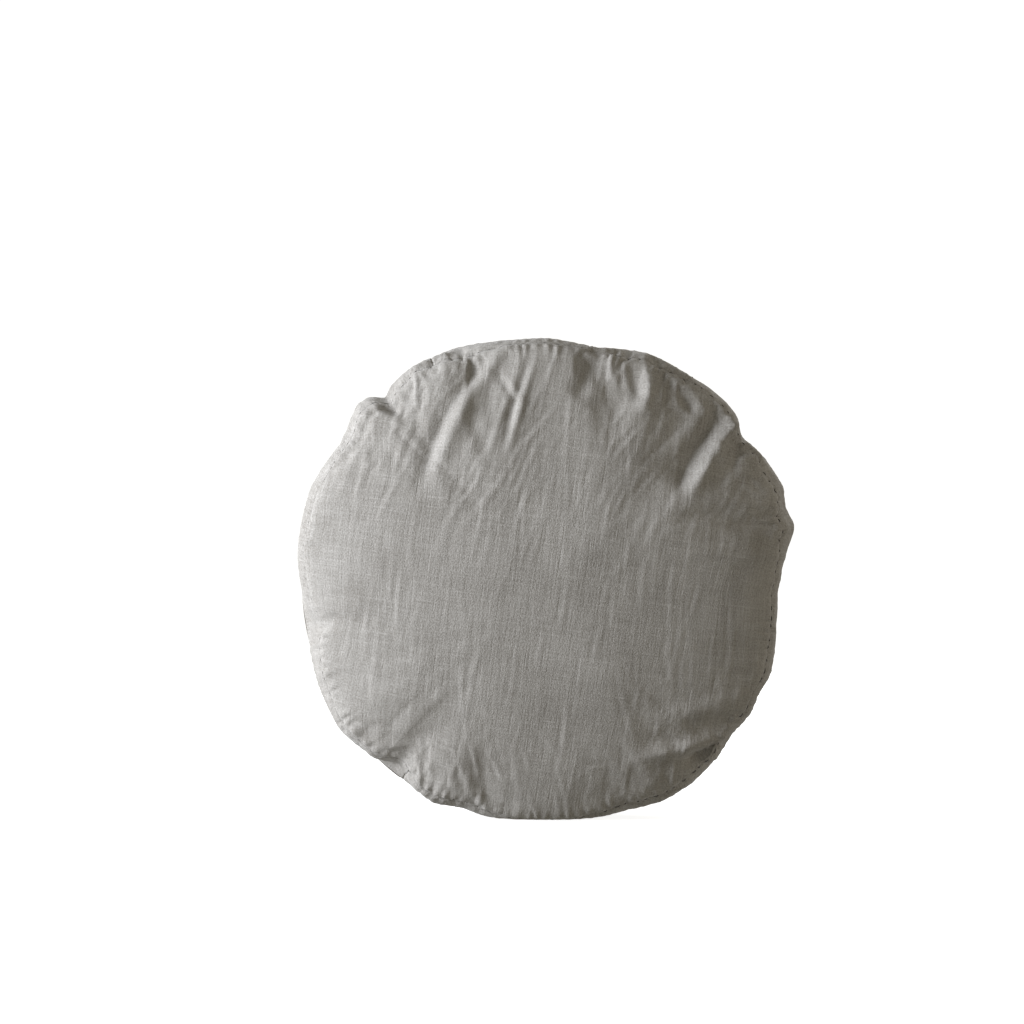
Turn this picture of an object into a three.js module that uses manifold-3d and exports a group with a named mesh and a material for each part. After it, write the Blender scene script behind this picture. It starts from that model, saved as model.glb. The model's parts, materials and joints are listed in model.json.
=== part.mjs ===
// A round floor cushion that stands on its edge. The cover is two round linen panels sewn to a side
// band, with a zip in the band; inside it are a calico case and the fibre filling.
// Millimetres, +Z up. The round faces look along -Y (front) and +Y (back). The origin is on the floor
// under the middle of the cushion, so the axis of the round shape is parallel to Y, at AXIS_HEIGHT.
import * as THREE from "three";
import { mergeVertices } from "three/addons/utils/BufferGeometryUtils.js";
import Module from "manifold-3d";

const wasm = await Module();
wasm.setup();

// ---- driving sizes of the cover ----
const CROWN_RADIUS = 300; // the band at the middle of its width
const SEAM_DROP = 13; // how much nearer the axis the seams are than the crown of the band
const BAND_WIDTH = 110; // from seam to seam
const PANEL_CROWN = 50; // how far the middle of a panel stands out past its seam
const FOOT_SINK = 18; // how much of the round outline the floor presses flat
const CLOTH = 1.0; // the linen with its nap
const SEAM_ALLOWANCE = 7; // the cloth turned inwards behind a seam
const DITCH_DEPTH = 1.6; // the groove that a seam leaves
const DITCH_WIDTH = 3.6;
const SEAM_GAP = 0.3; // between pieces that lie face to face

// ---- the inner case and the filling ----
const CASE_EASE = 2.2; // room between the cover's crown and the inner case's
const CASE_SEAM_EASE = 2; // room between the cover's allowances and the inner case's seam
const CASE_CLOTH = 0.6;
const CASE_ALLOWANCE = 5;
const CASE_DITCH = 1.0;
const FILL_EASE = 1.2;
const FILL_SEAM_EASE = 3;

// ---- the zip ----
const ZIP_INSET = 16; // from the back seam
const ZIP_FROM = 216; // the open end, in degrees from the top by way of +X: whole facets
const ZIP_TO = 333; // the closed end
const ZIP_OPENING = 6.8; // between the folded edges of the two strips
const ZIP_END = 9; // bare tape past the coils at each end
const TAPE_WIDTH = 12;
const TAPE = 0.6;
const COIL_WIDTH = 1.8;
const COIL_HEIGHT = 1.3;
const SLIDER_LENGTH = 10;
const SLIDER_WIDTH = 9;
const SLIDER_TAIL_WIDTH = 6.6;
const SLIDER_PLATE = 0.9;
const SLIDER_POST = 1.0; // the wedge that parts the teeth
const SLIDER_PLAY = 0.5; // between the slider and a stop at each end of its travel
const LOWER_PLATE_ROOM = 1.2; // between the tape and the plate that slides under it
const STOP_LENGTH = 4;
const PULL_LENGTH = 26;
const PULL_WIDTH = 5.4;
const PULL = 0.9;
const PULL_ROOM = 0.4;
const BRIDGE = 0.8; // thickness of the loop that holds the pull
const BRIDGE_WIDTH = 2.4;

// ---- threads ----
const SEAM_THREAD = 0.7;
const TOPSTITCH = 0.6;
const TOPSTITCH_INSET = 2.0; // from the folded edge of a strip

// ---- smoothness ----
const AROUND = 40; // facets in a full turn
const COVER_RINGS = 6; // from the seam to the middle of a panel
const COVER_ROW = 13; // width of a facet across the band
const INNER_RINGS = 5;
const INNER_ROW = 26;

const AXIS_HEIGHT = CROWN_RADIUS - FOOT_SINK;
const ZIP_OFFSET = BAND_WIDTH / 2 - ZIP_INSET; // from the middle of the band
const radians = THREE.MathUtils.degToRad;

// One set of sizes for each boxed shape: cover, inner case, filling.
const cover = {
  crown: CROWN_RADIUS,
  seam: CROWN_RADIUS - SEAM_DROP,
  half: BAND_WIDTH / 2,
  dome: PANEL_CROWN,
  cloth: CLOTH,
  allowance: SEAM_ALLOWANCE,
  ditch: DITCH_DEPTH,
  rings: COVER_RINGS,
  row: COVER_ROW,
};
const innerCase = {
  crown: cover.crown - cover.cloth - CASE_EASE,
  seam: cover.seam - cover.allowance - CASE_SEAM_EASE,
  half: cover.half - cover.cloth - SEAM_GAP,
  dome: cover.dome - CASE_EASE,
  cloth: CASE_CLOTH,
  allowance: CASE_ALLOWANCE,
  ditch: CASE_DITCH,
  rings: INNER_RINGS,
  row: INNER_ROW,
};
const filling = {
  crown: innerCase.crown - innerCase.cloth - FILL_EASE,
  seam: innerCase.seam - innerCase.allowance - FILL_SEAM_EASE,
  half: innerCase.half - innerCase.cloth - SEAM_GAP,
  dome: innerCase.dome - innerCase.cloth - FILL_EASE,
  rings: INNER_RINGS,
  row: INNER_ROW,
};

// ---- profiles, as points (radius, y) ----

// The band's outer surface is a shallow parabola across its width.
const bandRadius = (size, y) => size.crown - (size.crown - size.seam) * (y / size.half) ** 2;

// A panel's dome is a superellipse: (r / seam)^2.5 + (rise / dome)^1.7 = 1.
const DOME_R = 2.5;
const DOME_Y = 1.7;

function domePoint(size, turn) {
  const r = size.seam * Math.cos(turn) ** (2 / DOME_R);
  const rise = size.dome * Math.sin(turn) ** (2 / DOME_Y);
  return new THREE.Vector2(r, size.half + rise);
}

// The same curves read the other way: how far out the outer surface is at one y.
function outerRadius(size, y) {
  const rise = Math.abs(y) - size.half;
  if (rise <= 0) return bandRadius(size, y);
  if (rise >= size.dome) return 0;
  return size.seam * (1 - (rise / size.dome) ** DOME_Y) ** (1 / DOME_R);
}

// Moves each point of an open line to its left by the distance given.
function offset(line, distance) {
  return line.map((point, i) => {
    const along = line[Math.min(i + 1, line.length - 1)].clone().sub(line[Math.max(i - 1, 0)]).normalize();
    return new THREE.Vector2(point.x - along.y * distance, point.y + along.x * distance);
  });
}

const mirrored = (line) => line.map((p) => new THREE.Vector2(p.x, -p.y)).reverse();
const at = (r, y) => new THREE.Vector2(r, y);

// From the rim to the middle of the back dome, clear of the seam's ditch.
function domeLine(size) {
  const line = [];
  for (let ring = 1; ring <= size.rings; ring++) {
    line.push(domePoint(size, ((Math.PI / 2) * ring) / size.rings));
  }
  line[line.length - 1].x = 0;
  return line;
}

// The turned-in allowance beside a seam: side is 1 on a panel, which lies outside the seam, and -1 on a
// band. The points run from the outer surface in, and back out along the inner face.
function allowance(size, side) {
  const face = size.half + (side * SEAM_GAP) / 2;
  const back = face + side * size.cloth;
  const foot = size.seam - size.allowance;
  const lip = size.half + (side * DITCH_WIDTH) / 2;
  const floor = size.seam - size.ditch;
  return {
    lip: at(outerRadius(size, lip), lip),
    points: [at(floor, face), at(foot, face), at(foot, back), at(floor - size.cloth / 3, back)],
  };
}

// A round panel with its allowance; this is the back one, and the front one is its mirror image.
function panelProfile(size) {
  const outer = domeLine(size);
  const inner = offset(outer, size.cloth);
  inner[inner.length - 1].set(0, outer[outer.length - 1].y - size.cloth);
  const turned = allowance(size, 1);
  return [...inner.reverse(), ...turned.points.reverse(), turned.lip, ...outer];
}

// The band's outer surface between two values of y, and the same surface at a depth.
function bandLine(size, from, to, depth = 0) {
  const rows = 2 * Math.max(1, Math.round((to - from) / size.row / 2));
  const line = [];
  for (let row = 0; row <= rows; row++) {
    const y = from + ((to - from) * row) / rows;
    line.push(at(bandRadius(size, y), y));
  }
  return offset(line, depth);
}

function bandProfile(size) {
  const turned = allowance(size, -1);
  const edge = turned.lip.y;
  const outer = bandLine(size, -edge, edge);
  const inner = bandLine(size, size.cloth - edge, edge - size.cloth, size.cloth);
  return [...outer, ...turned.points, ...inner.reverse(), ...mirrored(turned.points)];
}

// The strip between the zip and the back seam, or, mirrored, the one that reaches the front seam.
function stripProfile(size, edge) {
  const turned = allowance(size, -1);
  const outer = bandLine(size, edge, turned.lip.y);
  const inner = bandLine(size, edge, turned.lip.y - size.cloth, size.cloth);
  return [...outer, ...turned.points, ...inner.reverse()];
}

// A strip of the cross-section beside the zip: from and to run across it, low and high are heights
// above the cover's surface there.
function zipProfile(from, to, low, high) {
  const line = (height) => {
    const above = (y) => bandLine(cover, y - 0.01, y + 0.01, -height)[1];
    return [from, to].map((across) => above(ZIP_OFFSET + across * Math.cos(zipTilt)));
  };
  return [...line(high), ...line(low).reverse()];
}

// ---- solids ----

// Flattens what the floor presses on: each upright column of the cushion is pushed up until its lowest
// point is on the floor, and the push fades out above. Nothing can cross, so every gap stays open.
const PRESSED = 25; // this deep, the whole of the push
const FREE = 160; // this deep, none of it

function settle(geometry) {
  const position = geometry.attributes.position;
  for (let i = 0; i < position.count; i++) {
    const x = position.getX(i);
    const reach = outerRadius(cover, position.getY(i));
    if (Math.abs(x) >= reach) continue;
    const lowest = AXIS_HEIGHT - Math.sqrt(reach * reach - x * x);
    if (lowest >= 0) continue;
    const z = position.getZ(i);
    const fade = 1 - THREE.MathUtils.smoothstep(z - lowest, PRESSED, FREE);
    position.setZ(i, z - lowest * fade);
  }
  return geometry;
}

function plain(geometry) {
  const bare = geometry.index ? geometry.toNonIndexed() : geometry;
  bare.deleteAttribute("normal");
  bare.deleteAttribute("uv");
  return bare;
}

function closed(geometry) {
  const merged = mergeVertices(geometry, 1e-3);
  merged.computeVertexNormals();
  return merged;
}

// A full turn of a profile that starts and ends on the axis or closes on itself.
function turned(profile) {
  const loop = profile[0].x === 0 ? profile : [...profile, profile[0].clone()];
  return settle(plain(new THREE.LatheGeometry(loop, AROUND)).translate(0, 0, AXIS_HEIGHT));
}

// Part of a turn of a closed profile, with its two ends capped. Its facets are those of the full turns
// that it lies between; the margin is the bare length at each end, taken off the first and last facet.
function sector(profile, from, to, margin = SEAM_GAP / 2) {
  const facets = Math.round(((to - from) * AROUND) / 360);
  const loop = [...profile, profile[0].clone()];
  const wall = new THREE.LatheGeometry(loop, facets, radians(from), radians(to - from));
  const last = facets * loop.length;
  const share = (margin * AROUND) / (2 * Math.PI * CROWN_RADIUS);
  loop.forEach((_, j) => {
    slide(wall.attributes.position, j, loop.length + j, share);
    slide(wall.attributes.position, last + j, last - loop.length + j, share);
  });
  const caps = THREE.ShapeUtils.triangulateShape(profile, []).flatMap(([a, b, c]) => [
    ...[a, b, c],
    ...[last + a, last + c, last + b],
  ]);
  wall.setIndex([...wall.index.array, ...caps]);
  return settle(plain(wall).translate(0, 0, AXIS_HEIGHT));
}

// Moves one vertex a share of the way to another.
function slide(position, vertex, towards, share) {
  const point = new THREE.Vector3().fromBufferAttribute(position, vertex);
  point.lerp(new THREE.Vector3().fromBufferAttribute(position, towards), share);
  position.setXYZ(vertex, ...point);
}

function ring(radius, y, diameter) {
  const sides = 5;
  const profile = [];
  for (let i = 0; i < sides; i++) {
    const turn = (2 * Math.PI * (i + 0.5)) / sides;
    profile.push(at(radius + (diameter / 2) * Math.cos(turn), y + (diameter / 2) * Math.sin(turn)));
  }
  return turned(profile);
}

// A solid that manifold-3d can join: a closed mesh with its shared vertices merged.
function solid(geometry) {
  const mesh = mergeVertices(plain(geometry), 1e-4);
  return new wasm.Manifold(
    new wasm.Mesh({
      numProp: 3,
      vertProperties: mesh.attributes.position.array,
      triVerts: new Uint32Array(mesh.index.array),
    }),
  );
}

function geometryOf(joined) {
  const mesh = joined.getMesh();
  const geometry = new THREE.BufferGeometry();
  geometry.setAttribute("position", new THREE.BufferAttribute(new Float32Array(mesh.vertProperties), 3));
  geometry.setIndex(new THREE.BufferAttribute(new Uint32Array(mesh.triVerts), 1));
  return geometry;
}

// ---- the zip's own frame ----
// At the zip the band slopes down to the back seam. In the frame of a piece on the zip, x runs along the
// teeth to the closed end, y across them to the back and z straight out of the cloth.
const zipSlope = (2 * (cover.crown - cover.seam) * ZIP_OFFSET) / cover.half ** 2;
const zipTilt = Math.atan(zipSlope);
const zipRadius = bandRadius(cover, ZIP_OFFSET);
const facetDip = (cover.crown - cover.seam) * (cover.row / cover.half / 2) ** 2;
const TAPE_TOP = -(CLOTH + SEAM_GAP + facetDip);
const TAPE_BOTTOM = TAPE_TOP - TAPE;
const COIL_BOTTOM = TAPE_TOP + SEAM_GAP;
const COIL_TOP = COIL_BOTTOM + COIL_HEIGHT;
const COIL_INNER = SLIDER_POST / 2 + SEAM_GAP;
const COIL_OUTER = COIL_INNER + COIL_WIDTH;
const UPPER_PLATE = COIL_TOP + SEAM_GAP;
const PLATE_TOP = UPPER_PLATE + SLIDER_PLATE;
const LOWER_PLATE = TAPE_BOTTOM - LOWER_PLATE_ROOM - SLIDER_PLATE;
const PULL_BOTTOM = PLATE_TOP + PULL_ROOM;
const PIVOT_HEIGHT = PULL_BOTTOM + PULL / 2;
const BRIDGE_INSIDE = 2 * PULL_ROOM + PULL + 0.1;

function placeOnZip(object, phi) {
  const along = new THREE.Vector3(Math.cos(phi), 0, -Math.sin(phi));
  const radial = new THREE.Vector3(Math.sin(phi), 0, Math.cos(phi));
  const back = new THREE.Vector3(0, 1, 0);
  const across = back.clone().multiplyScalar(Math.cos(zipTilt)).addScaledVector(radial, -Math.sin(zipTilt));
  const out = radial.clone().multiplyScalar(Math.cos(zipTilt)).addScaledVector(back, Math.sin(zipTilt));
  const place = radial.clone().multiplyScalar(zipRadius).addScaledVector(back, ZIP_OFFSET);
  object.applyMatrix4(new THREE.Matrix4().makeBasis(along, across, out).setPosition(place));
  object.position.z += AXIS_HEIGHT;
  return object;
}

function plateShape() {
  const nose = SLIDER_LENGTH / 2;
  const wide = SLIDER_WIDTH / 2;
  const tail = SLIDER_TAIL_WIDTH / 2;
  const shape = new THREE.Shape();
  shape.moveTo(-nose, -tail + 1);
  shape.quadraticCurveTo(-nose, -tail, -nose + 1, -tail);
  shape.lineTo(-1, -tail);
  shape.lineTo(1, -wide);
  shape.lineTo(nose - 1.5, -wide);
  shape.quadraticCurveTo(nose, -wide, nose, -wide + 1.5);
  shape.lineTo(nose, wide - 1.5);
  shape.quadraticCurveTo(nose, wide, nose - 1.5, wide);
  shape.lineTo(1, wide);
  shape.lineTo(-1, tail);
  shape.lineTo(-nose + 1, tail);
  shape.quadraticCurveTo(-nose, tail, -nose, tail - 1);
  return shape;
}

function sliderBody() {
  const plate = (bottom) =>
    new THREE.ExtrudeGeometry(plateShape(), { depth: SLIDER_PLATE, bevelEnabled: false, curveSegments: 3 })
      .translate(0, 0, bottom);
  const postHeight = UPPER_PLATE - LOWER_PLATE;
  const post = new THREE.BoxGeometry(3, SLIDER_POST, postHeight);
  post.translate(SLIDER_LENGTH / 2 - 2.2, 0, LOWER_PLATE + SLIDER_PLATE / 2 + postHeight / 2);
  const inside = BRIDGE_INSIDE / 2;
  const outside = inside + BRIDGE;
  const loop = new THREE.Shape();
  loop.moveTo(-outside, PLATE_TOP - 0.2);
  loop.lineTo(outside, PLATE_TOP - 0.2);
  loop.lineTo(outside, PIVOT_HEIGHT + inside);
  loop.quadraticCurveTo(outside, PIVOT_HEIGHT + outside, inside, PIVOT_HEIGHT + outside);
  loop.lineTo(-inside, PIVOT_HEIGHT + outside);
  loop.quadraticCurveTo(-outside, PIVOT_HEIGHT + outside, -outside, PIVOT_HEIGHT + inside);
  const hole = new THREE.Path();
  hole.moveTo(-inside, PLATE_TOP);
  hole.lineTo(-inside, PIVOT_HEIGHT + inside);
  hole.lineTo(inside, PIVOT_HEIGHT + inside);
  hole.lineTo(inside, PLATE_TOP);
  loop.holes.push(hole);
  const bridge = new THREE.ExtrudeGeometry(loop, {
    depth: BRIDGE_WIDTH,
    bevelEnabled: false,
    curveSegments: 4,
  });
  bridge.rotateX(Math.PI / 2).translate(0, BRIDGE_WIDTH / 2, 0);
  const pieces = [plate(UPPER_PLATE), plate(LOWER_PLATE), post, bridge].map(solid);
  return geometryOf(pieces.reduce((joined, piece) => joined.add(piece)));
}

// The pull lies along the teeth towards the open end. Its crossbar sits in the slider's bridge and its
// window lets the bridge's leg through as it swings.
function pullTab() {
  const bar = PULL / 2;
  const half = PULL_WIDTH / 2;
  const window = BRIDGE_WIDTH / 2 + SEAM_GAP;
  const windowEnd = -Math.SQRT2 * (BRIDGE_INSIDE / 2 + BRIDGE) - 2 * SEAM_GAP;
  const tip = -PULL_LENGTH;
  const shape = new THREE.Shape();
  shape.moveTo(bar, -half);
  shape.lineTo(bar, half);
  shape.lineTo(windowEnd - 2, half);
  shape.lineTo(windowEnd - 4, half - 0.7);
  shape.lineTo(tip + 2, half - 0.7);
  shape.absarc(tip + half - 0.7, 0, half - 0.7, Math.PI / 2, (3 * Math.PI) / 2, false);
  shape.lineTo(windowEnd - 4, -half + 0.7);
  shape.lineTo(windowEnd - 2, -half);
  const opening = new THREE.Path();
  opening.moveTo(-bar, -window);
  opening.lineTo(windowEnd, -window);
  opening.lineTo(windowEnd, window);
  opening.lineTo(-bar, window);
  shape.holes.push(opening);
  return new THREE.ExtrudeGeometry(shape, { depth: PULL, bevelEnabled: false, curveSegments: 5 })
    .translate(0, 0, PULL_BOTTOM);
}

function stopClip() {
  return new THREE.BoxGeometry(STOP_LENGTH, 2 * COIL_OUTER, COIL_HEIGHT + 0.6)
    .translate(0, 0, COIL_BOTTOM + (COIL_HEIGHT + 0.6) / 2);
}

// ---- materials ----
const linen = { color: 0x9a958c, roughness: 0.95, metalness: 0 };
const linenThread = { color: 0x6f6a61, roughness: 0.9, metalness: 0 };
const calico = { color: 0xe6dfd0, roughness: 0.95, metalness: 0 };
const fibre = { color: 0xf2f0ea, roughness: 1, metalness: 0 };
const tapeWeave = { color: 0x8d887f, roughness: 0.9, metalness: 0 };
const nylon = { color: 0x88837a, roughness: 0.45, metalness: 0 };
const antiqueBrass = { color: 0x8a7a5c, roughness: 0.4, metalness: 0.9 };

const cushion = new THREE.Group();

function add(name, geometry, finish) {
  const mesh = new THREE.Mesh(closed(geometry), new THREE.MeshStandardMaterial(finish));
  mesh.name = name;
  cushion.add(mesh);
  return mesh;
}

// ---- the cover ----
const openingEdge = (ZIP_OPENING / 2) * Math.cos(zipTilt);
add("front_panel", turned(mirrored(panelProfile(cover))), linen);
add("back_panel", turned(panelProfile(cover)), linen);
add("side_band", sector(bandProfile(cover), ZIP_TO, ZIP_FROM + 360), linen);
const backStrip = stripProfile(cover, ZIP_OFFSET + openingEdge);
const frontStrip = mirrored(stripProfile(cover, openingEdge - ZIP_OFFSET));
add("zip_strip_back", sector(backStrip, ZIP_FROM, ZIP_TO), linen);
add("zip_strip_front", sector(frontStrip, ZIP_FROM, ZIP_TO), linen);

const threadRadius = cover.seam - cover.ditch / 2;
add("front_seam_thread", ring(threadRadius, -cover.half, SEAM_THREAD), linenThread);
add("back_seam_thread", ring(threadRadius, cover.half, SEAM_THREAD), linenThread);

// ---- the zip ----
for (const [side, sign] of [["front", -1], ["back", 1]]) {
  const across = (near, far) => (sign > 0 ? [near, far] : [-far, -near]);
  const row = ZIP_OPENING / 2 + TOPSTITCH_INSET;
  const tape = zipProfile(...across(COIL_INNER, COIL_INNER + TAPE_WIDTH), TAPE_BOTTOM, TAPE_TOP);
  const coil = zipProfile(...across(COIL_INNER, COIL_OUTER), COIL_BOTTOM, COIL_TOP);
  const stitches = zipProfile(...across(row, row + TOPSTITCH), SEAM_GAP, SEAM_GAP + TOPSTITCH);
  add("zip_tape_" + side, sector(tape, ZIP_FROM, ZIP_TO, ZIP_END / 4), tapeWeave);
  add("zip_coil_" + side, sector(coil, ZIP_FROM, ZIP_TO, ZIP_END), nylon);
  add("zip_topstitch_" + side, sector(stitches, ZIP_FROM, ZIP_TO, SEAM_GAP), linenThread);
}

const onZip = (phi, length) => radians(phi) + length / zipRadius;
const stopOffset = ZIP_END - STOP_LENGTH / 2 - SLIDER_PLAY;
const parked = onZip(ZIP_TO, -(ZIP_END + SLIDER_PLAY + SLIDER_LENGTH / 2));
placeOnZip(add("zip_stop_closed_end", stopClip(), antiqueBrass), onZip(ZIP_TO, -stopOffset));
placeOnZip(add("zip_stop_open_end", stopClip(), antiqueBrass), onZip(ZIP_FROM, stopOffset));
placeOnZip(add("zip_slider_body", sliderBody(), antiqueBrass), parked);
placeOnZip(add("zip_pull_tab", pullTab(), antiqueBrass), parked);

// ---- inside the cover ----
add("inner_case_front", turned(mirrored(panelProfile(innerCase))), calico);
add("inner_case_back", turned(panelProfile(innerCase)), calico);
add("inner_case_band", turned(bandProfile(innerCase)), calico);
const innerThread = innerCase.seam - innerCase.ditch / 2;
add("inner_seam_thread_front", ring(innerThread, -innerCase.half, SEAM_THREAD), calico);
add("inner_seam_thread_back", ring(innerThread, innerCase.half, SEAM_THREAD), calico);

const dome = domeLine(filling);
const middle = bandLine(filling, -filling.half, filling.half);
add("fibre_filling", turned([...mirrored(dome), ...middle, ...dome]), fibre);

export default cushion;
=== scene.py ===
# %% [markdown]
# # A round linen floor cushion
# A removable linen cover, an inner calico case and a loose fibre filling.
# The cover is two discs of cloth joined by a side band, with a zip near the back
# seam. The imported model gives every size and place; what follows gives the looks.

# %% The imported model
import json

import bmesh
import bpy
import numpy as np
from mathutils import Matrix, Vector


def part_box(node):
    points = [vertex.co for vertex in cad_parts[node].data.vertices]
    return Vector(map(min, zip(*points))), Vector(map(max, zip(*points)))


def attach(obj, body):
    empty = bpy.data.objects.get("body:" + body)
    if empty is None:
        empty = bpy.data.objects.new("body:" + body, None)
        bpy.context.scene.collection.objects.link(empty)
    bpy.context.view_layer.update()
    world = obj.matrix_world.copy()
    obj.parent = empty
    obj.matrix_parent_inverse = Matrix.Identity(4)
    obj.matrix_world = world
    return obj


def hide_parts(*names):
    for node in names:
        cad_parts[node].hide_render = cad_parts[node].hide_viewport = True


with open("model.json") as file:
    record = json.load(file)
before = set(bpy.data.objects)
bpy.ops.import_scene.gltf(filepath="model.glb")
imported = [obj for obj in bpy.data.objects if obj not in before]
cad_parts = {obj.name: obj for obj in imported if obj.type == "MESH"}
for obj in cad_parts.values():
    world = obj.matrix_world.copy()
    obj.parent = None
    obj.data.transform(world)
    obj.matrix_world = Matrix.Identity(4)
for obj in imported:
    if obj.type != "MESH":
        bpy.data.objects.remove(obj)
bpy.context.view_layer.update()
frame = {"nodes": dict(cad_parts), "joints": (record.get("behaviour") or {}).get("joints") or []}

# %% [markdown]
# ## Sizes
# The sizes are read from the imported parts. The side band bulges to the largest
# radius in its middle, and the seams lie a little lower. The zip runs round a
# circle near the back seam, where the cloth leans back, and the pull's hinge
# says by how much.

# %% Sizes of the cushion
MM = 0.001
CROWN = float(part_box("side_band")[1][0])
AXIS_Z = float(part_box("side_band")[1][2]) - CROWN
THREAD_SUNK = 0.45 * MM
SEAM = float(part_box("front_seam_thread")[1][0]) + THREAD_SUNK
HALF = -float(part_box("front_seam_thread")[0][1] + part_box("front_seam_thread")[1][1]) / 2
PANEL_RISE = -float(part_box("front_panel")[0][1]) - HALF
CENTRE = np.array([0.0, 0.0, AXIS_Z])
print("radius", CROWN, "seam", SEAM, "half width", HALF, "panel rise", PANEL_RISE)

# %% Sizes of the zip
joints = {joint["name"]: joint for joint in frame["joints"]}
PULL_AT = np.array(joints["pull_swing"]["pos_m"])
PULL_AXIS = np.array(joints["pull_swing"]["axis"])
ZIP_TILT = float(np.arccos(PULL_AXIS[1] / np.linalg.norm(PULL_AXIS)))
ZIP_Y = float(np.tan(ZIP_TILT)) * HALF**2 / (2 * (CROWN - SEAM))
ZIP_RADIUS = CROWN - (CROWN - SEAM) * (ZIP_Y / HALF) ** 2
PARKED = float(np.arctan2(PULL_AT[0], PULL_AT[2] - AXIS_Z)) + 2 * np.pi
TRAVEL = float(np.radians(joints["zip_travel"]["range_deg"][1]))
SLIDER_TO_END = 14.5 * MM / ZIP_RADIUS
ZIP_TO = PARKED + SLIDER_TO_END
ZIP_FROM = PARKED - TRAVEL - SLIDER_TO_END
print("zip from", np.degrees(ZIP_FROM), "to", np.degrees(ZIP_TO), "degrees at", ZIP_Y)

# %% [markdown]
# ## The stuffed form
# A stuffed cover is a flat pattern blown up by its filling. Its wrinkles could be
# sculpted, but a cloth simulation gives the true ones. So a flat drum, the sewn
# pattern, is remeshed evenly and inflated. It is a cage that carries finer cloth.

# %% Pattern sizes
PATTERN_RADIUS = 306 * MM
PATTERN_HALF = 59 * MM
PATTERN_EDGE = 6 * MM
CAGE_CELL = 6 * MM
INFLATE_FRAMES = 26


def mesh_object(name, points, faces):
    """A new object whose mesh has these points and these faces, all of one length."""
    mesh = bpy.data.meshes.new(name)
    mesh.from_pydata(np.asarray(points).tolist(), [], np.asarray(faces).tolist())
    mesh.update()
    made = bpy.data.objects.new(name, mesh)
    bpy.context.collection.objects.link(made)
    return made


def evaluated_points(piece):
    """The piece's points after its modifiers, as an array."""
    graph = bpy.context.evaluated_depsgraph_get()
    mesh = piece.evaluated_get(graph).data
    flat = np.zeros(len(mesh.vertices) * 3)
    mesh.vertices.foreach_get("co", flat)
    return flat.reshape(-1, 3)


def ring_walls(index):
    """Quads between neighbouring rings of point numbers. The last axis goes round."""
    following = np.roll(index, -1, axis=-1)
    near, far = slice(None, -1), slice(1, None)
    return np.stack([
        index[..., near, :], following[..., near, :],
        following[..., far, :], index[..., far, :],
    ], -1).reshape(-1, 4)


def rotate_profile(radius, y, columns):
    """A profile (radius, y) turned round the y axis: x = r sin a, z = r cos a."""
    angle = np.linspace(0, 2 * np.pi, columns, endpoint=False)
    points = np.stack([
        radius[:, None] * np.sin(angle),
        np.broadcast_to(y[:, None], (len(y), columns)),
        radius[:, None] * np.cos(angle),
    ], -1).reshape(-1, 3)
    return points, ring_walls(np.arange(len(points)).reshape(-1, columns))


# %% The drum, remeshed evenly
edge_turn = np.linspace(0, np.pi / 2, 4)
edge_radius = PATTERN_RADIUS - PATTERN_EDGE * (1 - np.sin(edge_turn))
edge_y = PATTERN_HALF - PATTERN_EDGE * (1 - np.cos(edge_turn))
profile_radius = np.concatenate([[2 * MM], edge_radius, edge_radius[::-1], [2 * MM]])
profile_y = np.concatenate([[PATTERN_HALF], edge_y, -edge_y[::-1], [-PATTERN_HALF]])
drum_points, drum_quads = rotate_profile(profile_radius, profile_y, 180)
cage = mesh_object("cage", drum_points, drum_quads[:, ::-1])
remesh = cage.modifiers.new("even cloth", "REMESH")
remesh.mode = "VOXEL"
remesh.voxel_size = CAGE_CELL
even = bpy.data.meshes.new_from_object(cage.evaluated_get(bpy.context.evaluated_depsgraph_get()))
cage.modifiers.clear()
cage.data = even
cage_flat = evaluated_points(cage)
print("cage of", len(cage_flat), "points")

# %% [markdown]
# Pressure stands for the filling. Gravity is off, because a firm filling holds the
# cloth out evenly. Stiff threads and soft bending give long creases.


# %% Inflating the drum
INFLATED_CLOTH = {
    "use_pressure": True, "uniform_pressure_force": 4, "quality": 5, "mass": 0.15,
    "tension_stiffness": 40, "compression_stiffness": 40, "shear_stiffness": 8,
    "bending_stiffness": 0.05, "tension_damping": 10, "compression_damping": 10,
    "shear_damping": 8, "bending_damping": 0.5, "air_damping": 2,
}


def inflate(piece, frames):
    """Steps Blender's cloth with inner pressure and returns the points it reaches."""
    cloth = piece.modifiers.new("cloth", "CLOTH")
    settings = cloth.settings
    for key, value in INFLATED_CLOTH.items():
        setattr(settings, key, value)
    settings.effector_weights.gravity = 0
    cloth.collision_settings.use_collision = False
    cloth.point_cache.frame_end = frames + 2
    bpy.context.scene.frame_start = 1
    bpy.context.scene.frame_end = frames + 2
    for number in range(1, frames + 1):
        bpy.context.scene.frame_set(number)
    points = evaluated_points(piece)
    piece.modifiers.clear()
    bpy.context.scene.frame_set(1)
    return points


cage_full = inflate(cage, INFLATE_FRAMES)
print("inflated to", np.ptp(cage_full, axis=0).round(3))

# %% [markdown]
# ## Carrying fine cloth on the cage
# A Surface Deform modifier ties each fine point to the flat drum. Then the drum's
# points are swapped for the inflated ones, and the fine cloth follows smoothly.


# %% The carrier
def set_points(piece, points):
    """Puts an array of points into a piece's mesh."""
    piece.data.vertices.foreach_set("co", points.ravel())
    piece.data.update()


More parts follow.
